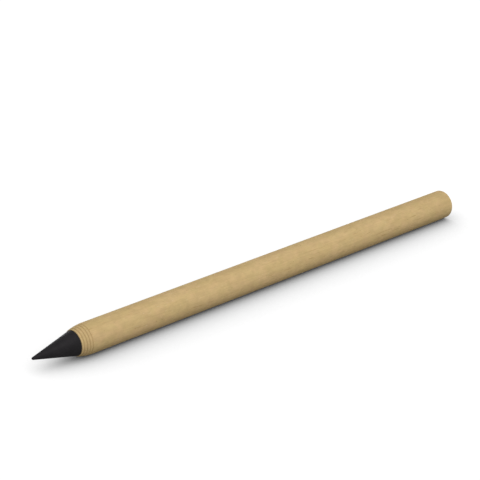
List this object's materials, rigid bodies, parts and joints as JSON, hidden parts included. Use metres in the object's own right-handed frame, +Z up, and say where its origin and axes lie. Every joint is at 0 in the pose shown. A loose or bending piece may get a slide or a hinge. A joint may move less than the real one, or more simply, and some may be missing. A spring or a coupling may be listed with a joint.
{
  "type": "inkless pencil",
  "caption": "Round wooden inkless pencil with a black conical writing tip that screws into the turned, ring-grooved nose of its barrel.",
  "frame": {"origin": "on the surface that the pencil lies on, under the middle of its length", "axes": "+X along the pencil from its point to its tail, +Z up, +Y to the left of +X"},
  "size_m": [0.147, 0.008, 0.008],
  "materials": {
    "barrel_wood": "light wood or bamboo, fine lengthwise grain, thin satin lacquer",
    "thread_brass": "turned brass",
    "tip_alloy": "matte black writing alloy"
  },
  "bodies": {
    "barrel_body": {"barrel": "barrel_wood", "thread_insert": "thread_brass"},
    "stud_body": {"tip_stud": "thread_brass"},
    "tip_body": {"tip_cone": "tip_alloy"}
  },
  "joints": [
    {"name": "tip_advance", "type": "slide", "parent": "barrel_body", "child": "stud_body", "axis": [-1, 0, 0], "range_m": [0, 0.0065]},
    {"name": "tip_turn", "type": "hinge", "parent": "stud_body", "child": "tip_body", "pos_m": [-0.061, 0, 0.004], "axis": [-1, 0, 0], "range_deg": [0, 4680]}
  ],
  "couplings": [
    {"joint": "tip_turn", "follows": "tip_advance", "rad_per_m": 12566}
  ]
}
